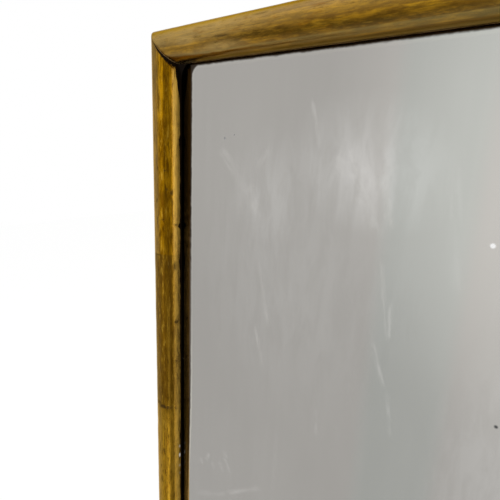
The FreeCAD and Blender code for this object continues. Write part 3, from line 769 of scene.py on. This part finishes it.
def make_mesh(name, points, faces, material, crease):
    """A closed mesh object, smooth but for edges sharper than the crease angle."""
    mesh = bpy.data.meshes.new(name)
    mesh.from_pydata(points, [], faces)
    mesh.validate()
    for face in mesh.polygons:
        face.use_smooth = True
    mesh.set_sharp_from_angle(angle=math.radians(crease))
    mesh.materials.append(material)
    piece = bpy.data.objects.new(name, mesh)
    scene.collection.objects.link(piece)
    return piece


def sweep(name, rows, material, crease):
    """Skin over closed rows of points, with a cap at each end."""
    width = len(rows[0])
    points = [point for row in rows for point in row]
    faces = []
    for row in range(len(rows) - 1):
        for step in range(width):
            following = (step + 1) % width
            faces.append((row * width + step, row * width + following,
                          (row + 1) * width + following, (row + 1) * width + step))
    faces.append(tuple(reversed(range(width))))
    last = (len(rows) - 1) * width
    faces.append(tuple(range(last, last + width)))
    return make_mesh(name, points, faces, material, crease)


def smooth(low, high, value):
    share = min(1.0, max(0.0, (value - low) / (high - low)))
    return share * share * (3 - 2 * share)


FRONT = Vector((0, -1, 0))
RIGHT = Vector((1, 0, 0))
UP = Vector((0, 0, 1))

# Each side starts at a corner and runs to the next one: corner, way to the glass, way along, length
SIDES = {
    "left_stile": (-HALF_WIDTH * RIGHT + HALF_HEIGHT * UP, RIGHT, -UP, 2 * HALF_HEIGHT),
    "top_rail": (HALF_WIDTH * RIGHT + HALF_HEIGHT * UP, -UP, -RIGHT, 2 * HALF_WIDTH),
    "right_stile": (HALF_WIDTH * RIGHT - HALF_HEIGHT * UP, -RIGHT, UP, 2 * HALF_HEIGHT),
    "bottom_rail": (-HALF_WIDTH * RIGHT - HALF_HEIGHT * UP, UP, RIGHT, 2 * HALF_WIDTH),
}

# How far the lip is worn back at the start and the end of each side, in degrees of the half-round
LIP_WEAR = {"left_stile": (20, 9), "top_rail": (11, 3), "right_stile": (8, 13), "bottom_rail": (10, 7)}
# Distances from the inner corner where that wear starts and where it is full
LIP_WEAR_SPAN = (36 * MM, -6 * MM)
# Where the lip ends, and the furthest that it reaches round, in degrees of the half-round
LIP_TURN, FURTHEST_LIP = -3.5, -6.0
# Nicks in the lip: distance along the side, half width, depth in degrees of the half-round
NOTCHES = {
    "left_stile": (
        (91.5 * MM, 2.5 * MM, 6),
        (96.5 * MM, 2.0 * MM, 5),
        (172.5 * MM, 2.2 * MM, 11),
        (210 * MM, 9 * MM, 4),
    ),
    "right_stile": ((240 * MM, 3.0 * MM, 7), (655 * MM, 4.0 * MM, 6)),
    "bottom_rail": ((180 * MM, 3.0 * MM, 6),),
}
# Dents in the brass: distance along the side, turn in degrees, reach along, reach across, depth
DENTS = {
    "left_stile": (
        (371 * MM, 62, 2.2 * MM, 6.5 * MM, 0.75 * MM),
        (370 * MM, 15, 2.2 * MM, 3.0 * MM, 0.40 * MM),
        (270 * MM, 12, 2.6 * MM, 2.2 * MM, 0.45 * MM),
        (318 * MM, 14, 3.0 * MM, 2.6 * MM, 0.40 * MM),
        (141 * MM, 32, 3.0 * MM, 2.6 * MM, 0.35 * MM),
        (168 * MM, 62, 2.2 * MM, 5.0 * MM, 0.35 * MM),
    ),
    "top_rail": (
        (585 * MM, 92, 9 * MM, 4 * MM, 0.35 * MM),
        (550 * MM, 72, 8 * MM, 4 * MM, 0.3 * MM),
    ),
}
# Points of the section on the flat side, round the outside and round the inside
FLAT_STEPS, OUTER_STEPS, INNER_STEPS = 6, 40, 12
# Distances of the first rows from a mitre and the pitch of the others, in millimetres
ROW_STEPS = (0, 0.35, 0.9, 1.8, 3.2, 5, 7.5, 10.5)
ROW_PITCH = 2.4
CORNER_ROUND = 2.5 * MM

# How far each mitre stands open at the sight edge, at the start and the end of each side, in millimetres
OPEN_MITRE = {"left_stile": (3.0, 0.7), "top_rail": (0.6, 0.5),
              "right_stile": (0.5, 0.9), "bottom_rail": (0.6, 0.4)}


def on_round(radius, turn):
    """A point (across, forward) of the half-round, at a turn in degrees from the sight edge."""
    angle = math.radians(turn)
    return CROWN + radius * math.cos(angle), SPRING + radius * math.sin(angle)


def ease_end(across, forward, step):
    """Sink the outer skin near a mitre, so that the end of the sheet is rounded."""
    depth = (0.15 + 0.45 * smooth(5 * MM, 20 * MM, across)) * MM
    depth *= math.exp(-step / (0.8 * MM))
    radial = Vector((across - CROWN, max(forward - SPRING, 0.0)))
    if radial.length > CROWN - GAUGE / 2:
        radial.normalize()
        across -= radial.x * depth
        forward -= radial.y * depth
    return across, forward


def round_corner(across, reach):
    """Pull a point at an outer corner of the frame back to a rounded corner."""
    if across < CORNER_ROUND and reach < CORNER_ROUND:
        off = math.hypot(CORNER_ROUND - across, CORNER_ROUND - reach)
        if off > CORNER_ROUND:
            across = CORNER_ROUND - (CORNER_ROUND - across) * CORNER_ROUND / off
            reach = CORNER_ROUND - (CORNER_ROUND - reach) * CORNER_ROUND / off
    return across, reach


class BrassSide:
    """The worn brass sheet of one side, swept from one mitre to the other."""

    def __init__(self, side, seed):
        self.side = side
        self.seed = seed
        self.corner, self.inward, self.along, self.length = SIDES[side]
        self.half = self.length / 2
        self.span = self.half - CROWN
        self.dents = list(DENTS.get(side, ())) + self.chance_dents()

    def chance_dents(self):
        """A shallow dent for every 60 mm of the side, away from its ends."""
        draw = random.Random(self.seed)
        dents = []
        for _ in range(int(self.length / 0.06)):
            reach = draw.uniform(2.5, 8) * MM
            place = draw.uniform(0.04, self.length - 0.04)
            turn = draw.uniform(40, 140)
            breadth = reach * draw.uniform(0.6, 1.2)
            dents.append((place, turn, reach, breadth, draw.uniform(0.08, 0.32) * MM))
        return dents

    def sink_at(self, place, turn):
        """How far the surface lies under the true half-round, by dents and ripples."""
        depth = 0.0
        for centre, angle, reach, breadth, deep in self.dents:
            if abs(place - centre) < 2 * reach:
                gap = math.hypot((place - centre) / reach, math.radians(turn - angle) * CROWN / breadth)
                depth += deep * math.exp(-2 * gap * gap)
        wave = noise.noise(Vector((place * 9, turn * 0.012, self.seed * 7.3)))
        ripple = noise.noise(Vector((place * 62, turn * 0.045, self.seed * 3.1)))
        return depth + 0.08 * MM * (1 + wave) + 0.11 * MM * (1 + ripple)

    def lip_at(self, place):
        """The turn at which the sheet ends, in degrees from the sight edge."""
        edge = LIP_TURN + 2.4 * noise.noise(Vector((place * 150, self.seed * 5.7, 0)))
        edge += 2.2 * noise.noise(Vector((place * 38, self.seed * 2.9, 4)))
        for centre, reach, deep in NOTCHES.get(self.side, ()):
            edge += deep * math.exp(-((place - centre) / reach) ** 2)
        first, last = LIP_WEAR[self.side]
        edge += first * smooth(*LIP_WEAR_SPAN, place - RAIL)
        edge += last * smooth(*LIP_WEAR_SPAN, self.length - RAIL - place)
        return max(FURTHEST_LIP, edge)

    def section(self, place):
        """Outline of the sheet, as points (across, forward)."""
        share = (self.half - RAIL) / self.span
        tip = RAIL + (place - CROWN) * share
        if place >= self.half:
            tip = self.length - RAIL - (self.length - CROWN - place) * share
        lip = self.lip_at(tip)
        flat = 0.2 * self.sink_at(place, 180)
        outline = [(flat, SPRING * index / FLAT_STEPS) for index in range(FLAT_STEPS)]
        for index in range(OUTER_STEPS + 1):
            turn = 180 - (180 - lip) * index / OUTER_STEPS
            outline.append(on_round(CROWN - self.sink_at(place, turn), turn))
        for index in range(INNER_STEPS + 1):
            turn = lip + (180 - lip) * index / INNER_STEPS
            outline.append(on_round(CROWN - GAUGE, turn))
        outline.append((GAUGE, 0.0))
        return outline

    def row(self, step, at_start):
        """The section a step away from the mitre at the start or at the end of the side."""
        place = CROWN + step if at_start else self.length - CROWN - step
        first, last = OPEN_MITRE[self.side]
        opening = first if at_start else last
        row = []
        for across, forward in self.section(place):
            start = across + (0.03 + opening * smooth(7 * MM, 27 * MM, across)) * MM
            reach = start + step * (self.half - start) / self.span
            across, forward = ease_end(across, forward, step)
            across, reach = round_corner(across, reach)
            travel = reach if at_start else self.length - reach
            row.append(self.corner + self.inward * across + self.along * travel + FRONT * forward)
        return row

    def steps(self):
        steps = in_metres(ROW_STEPS)
        rest = self.span - steps[-1]
        number = int(rest / (ROW_PITCH * MM))
        pitch = rest / number
        return steps + [steps[-1] + pitch * (index + 1) for index in range(number)]

    def build(self):
        steps = self.steps()
        rows = [self.row(step, True) for step in steps]
        rows += [self.row(step, False) for step in reversed(steps[:-1])]
        piece = sweep(self.side + "_sheet", rows, BRASS, crease=35)
        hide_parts(self.side + "_brass")
        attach(piece, "mirror")


for number, side in enumerate(SIDES):
    BrassSide(side, number + 1).build()

# Putty in a corner: radius of its hollow, overlap with the walls, rise, and rows of points
COVE, COVE_TUCK, COVE_RISE = 12.0 * MM, 0.4 * MM, 4.6 * MM
COVE_TURNS, COVE_RINGS = 20, 9
# Hands of the four corners, along X and Z
CORNERS = ((-1, 1), (1, 1), (1, -1), (-1, -1))


def cove_height(across, up, turn, share, number):
    """Height of the putty over the glass."""
    lump = noise.noise(Vector((across * 300, up * 300, number * 5.3)))
    tall = COVE_RISE * (0.25 + 0.75 * math.sin(math.radians(180 * turn / COVE_TURNS)) ** 2)
    return tall * share ** 1.6 + 0.25 * MM * (1 + lump) * min(1.0, 4 * share)


def cove_points(hand_x, hand_z, number):
    """Points of one lump, first its top, then its underside."""
    wall = Vector((hand_x * (HALF_WIDTH - RAIL + SIGHT_SETBACK), -GLASS,
                   hand_z * (HALF_HEIGHT - RAIL + SIGHT_SETBACK)))
    points = []
    for top in (True, False):
        for turn in range(COVE_TURNS + 1):
            angle = math.radians(180 + 90 * turn / COVE_TURNS)
            way = Vector((math.cos(angle), math.sin(angle)))
            reach = (COVE + COVE_TUCK) / max(abs(way.x), abs(way.y))
            for ring in range(COVE_RINGS + 1):
                share = ring / COVE_RINGS
                out = COVE + (reach - COVE) * share
                across = COVE + way.x * out
                up = COVE + way.y * out
                height = cove_height(across, up, turn, share, number) if top else -0.05 * MM
                points.append(wall + Vector((-hand_x * across, -height, -hand_z * up)))
    return points


def cove_faces(start, flip):
    """Faces of one lump: its top, its underside and the band that joins them."""
    width = COVE_RINGS + 1
    size = (COVE_TURNS + 1) * width
    faces = []
    for turn in range(COVE_TURNS):
        for ring in range(COVE_RINGS):
            first = start + turn * width + ring
            quad = (first, first + 1, first + width + 1, first + width)
            faces.append(quad)
            faces.append(tuple(size + corner for corner in reversed(quad)))
    rim = [turn * width for turn in range(COVE_TURNS + 1)]
    rim += [COVE_TURNS * width + ring for ring in range(1, COVE_RINGS + 1)]
    rim += [turn * width + COVE_RINGS for turn in range(COVE_TURNS - 1, -1, -1)]
    rim += list(range(COVE_RINGS - 1, 0, -1))
    for here, there in zip(rim, rim[1:] + rim[:1]):
        faces.append((start + here, start + there, start + size + there, start + size + here))
    return [tuple(reversed(face)) if flip else face for face in faces]


def corner_putty():
    """A hollow lump of putty on the glass in each corner, from one wall of the rebate to the other."""
    points = []
    faces = []
    for number, (hand_x, hand_z) in enumerate(CORNERS):
        faces += cove_faces(len(points), flip=hand_x * hand_z < 0)
        points += cove_points(hand_x, hand_z, number)
    piece = make_mesh("putty_coves", points, faces, PUTTY, crease=60)
    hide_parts("corner_putty")
    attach(piece, "mirror")


corner_putty()

# Backboards: points across a board as shares of its width, and how far its edges are eased, in millimetres
PLANK_SHARES = (0.0, 0.006, 0.014, 0.024, 0.06, 0.14, 0.26, 0.38, 0.5,
                0.62, 0.74, 0.86, 0.94, 0.976, 0.986, 0.994, 1.0)
PLANK_EASE = (2.2, 1.1, 0.45, 0.1)
# Rows along a board: near its ends, in millimetres, and the number of steps between them
PLANK_ENDS, PLANK_STEPS = (0.0, 0.8, 2.0, 4.0), 44


def plank(name, seed):
    """One sawn backboard with eased edges, slightly cupped, its faces a little uneven."""
    low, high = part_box(name)
    length = high.x - low.x
    last = len(PLANK_SHARES) - 1
    outline = [(index, True) for index in range(last + 1)]
    outline += [(index, False) for index in reversed(range(last + 1))]
    stops = in_metres(PLANK_ENDS)
    stops += [length * index / PLANK_STEPS for index in range(1, PLANK_STEPS)]
    stops += [length - step for step in reversed(in_metres(PLANK_ENDS))]

    def point(stop, index, back):
        share = PLANK_SHARES[index]
        upper = round(share)
        close = min(index, last - index)
        x = low.x + stop
        z = low.z + (high.z - low.z) * share
        uneven = noise.noise(Vector((x * 11, z * 45, seed * 3.7)))
        edge = noise.noise(Vector((x * 8, seed * 1.9, 8 * upper)))
        cup = 0.3 * MM * (2 * share - 1) ** 2
        sink = 0.22 * MM * (1 + uneven) + cup
        if close < len(PLANK_EASE):
            sink += PLANK_EASE[close] * MM * (1 + 0.35 * edge)
        sink += 0.9 * MM * math.exp(-min(stop, length - stop) / (1.2 * MM))
        if close == 0:
            z += (1 - 2 * upper) * 0.2 * MM * (1 + edge)
        y = high.y - sink if back else low.y + 0.05 * sink
        return Vector((x, y, z))

    rows = [[point(stop, index, back) for index, back in outline] for stop in stops]
    piece = sweep(name + "_plank", rows, PINE, crease=30)
    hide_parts(name)
    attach(piece, "mirror")


for number in range(1, 7):
    plank("backboard_%d" % number, number)


def make_floor():
    """A pale floor, nearly white to the camera and not seen in the glass."""
    size, gap, white = 4.0, 0.5 * MM, 0.85
    level = cad_box[0].z - gap
    corners = [(size * x, size * y, level) for x, y in ((-1, -1), (1, -1), (1, 1), (-1, 1))]
    mesh = bpy.data.meshes.new("floor")
    mesh.from_pydata(corners, [], [(0, 1, 2, 3)])
    floor = bpy.data.objects.new("floor", mesh)
    scene.collection.objects.link(floor)
    finish = Finish("pale_floor")
    finish.set(Base_Color=(0.86, 0.86, 0.85), Roughness=0.8)
    glow = finish.add("ShaderNodeEmission")
    path = finish.add("ShaderNodeLightPath")
    mixer = finish.add("ShaderNodeMixShader")
    share = finish.math("MULTIPLY", path.outputs["Is Camera Ray"], white)
    finish.feed_all(mixer.inputs, (share, finish.shader.outputs[0], glow.outputs[0]))
    finish.feed(finish.tree.nodes["Material Output"].inputs["Surface"], mixer.outputs[0])
    mesh.materials.append(finish.material)
    floor.visible_glossy = False


make_floor()

STUDIO_LEVEL, DARKEST_LEVEL = 0.58, 0.03
# Glows and shades of the studio: direction, angles in degrees where each is full and where it ends, strength
GLOWS = (
    ((0, 1, 0), 70, 105, 0.42),
    ((0.14, -1, 0.02), 0, 42, 0.34),
    ((0, 0, 1), 25, 70, 0.45),
)
SIDE_GLOWS = (
    ((1, 0.05, 0.06), 6, 33, 0.60),
    ((0.708, -0.125, -0.695), 6, 30, -0.30),
    ((0.33, -0.65, -0.69), 2, 10, 0.90),
    ((-0.70, -0.58, -0.66), 8, 34, -0.04),
)
# A grey panel with a level of its own
PANEL, PANEL_LEVEL = ((0.57, -0.785, -0.242), 22, 40, 1.0), 0.40
# Upright strips: plan angle in degrees from +X towards the front, angles as above, strength
BRIGHT_STRIP = (2, 4, 13, 0.45)
COOL_STRIP = (109.3, 3.5, 6.5, 1.0)
WHITE, COOL_WHITE = (1.0, 1.0, 1.0), (0.952, 1.0, 1.0)


def make_studio():
    """White to the camera; for light and reflections a grey room, brighter behind and above."""
    world = bpy.data.worlds.new("studio")
    scene.world = world
    world.use_nodes = True
    room = Graph(world.node_tree)
    back = room.tree.nodes["Background"]
    direction = room.add("ShaderNodeTexCoord").outputs["Generated"]
    plan = room.vector("NORMALIZE", room.vector("MULTIPLY", direction, (1, 1, 0)))

    def lobe(way, towards, full, end, amount):
        """An amount near a direction, fading from the full angle to nothing at the end angle."""
        close = room.vector("DOT_PRODUCT", way, Vector(towards).normalized())
        return room.between(close, math.cos(math.radians(end)), math.cos(math.radians(full)), 0.0, amount)

    def strip(angle, full, end, amount):
        turn = math.radians(angle)
        return lobe(plan, (math.cos(turn), -math.sin(turn), 0), full, end, amount)

    level = STUDIO_LEVEL
    for glow in GLOWS:
        level = room.math("ADD", lobe(direction, *glow), level)
    level = room.mix("FLOAT", lobe(direction, *PANEL), level, PANEL_LEVEL)
    for glow in SIDE_GLOWS:
        level = room.math("ADD", lobe(direction, *glow), level)
    level = room.math("ADD", strip(*BRIGHT_STRIP), level)
    level = room.math("MAXIMUM", level, DARKEST_LEVEL)
    path = room.add("ShaderNodeLightPath")
    seen = room.math("MAXIMUM", path.outputs["Is Camera Ray"], path.outputs["Is Transmission Ray"])
    room.feed(back.inputs["Strength"], room.mix("FLOAT", seen, level, 1.0))
    cool = room.product(strip(*COOL_STRIP), room.math("SUBTRACT", 1.0, seen))
    room.feed(back.inputs["Color"], room.blend(cool, WHITE, COOL_WHITE))


make_studio()

# Lamps: place in metres and power in watts; both aim at the middle of the part
LAMPS = {"key": ((-1.2, -1.6, 1.9), 14), "rim": ((1.2, 1.5, 1.6), 12)}
LAMP_SIZE = 1.6


def make_lamp(name, place, power):
    data = bpy.data.lights.new(name, "AREA")
    data.size = LAMP_SIZE
    data.energy = power
    lamp = bpy.data.objects.new(name, data)
    lamp.location = place
    lamp.rotation_euler = (-Vector(place)).to_track_quat("-Z", "Y").to_euler()
    lamp.visible_glossy = False
    scene.collection.objects.link(lamp)


for name, (place, power) in LAMPS.items():
    make_lamp(name, place, power)

# Camera, set from the frame's upper left corner and the face of the glass
FOCAL_PIXELS = 430.0
IMAGE_PIXELS = 500
EYE = Vector((-HALF_WIDTH + 0.352, -(GLASS + 0.2593), HALF_HEIGHT - 0.091))
YAW, DIP, ROLL = math.radians(41.91), math.radians(14.43), math.radians(2.29)


def make_camera():
    data = bpy.data.cameras.new("camera")
    data.sensor_width = 36
    data.lens = data.sensor_width * FOCAL_PIXELS / IMAGE_PIXELS
    data.clip_start = 0.01
    camera = bpy.data.objects.new("camera", data)
    tilt = Matrix.Rotation(math.pi / 2 - DIP, 4, "X") @ Matrix.Rotation(ROLL, 4, "Z")
    camera.matrix_world = Matrix.Translation(EYE) @ Matrix.Rotation(YAW, 4, "Z") @ tilt
    scene.collection.objects.link(camera)
    scene.camera = camera


make_camera()
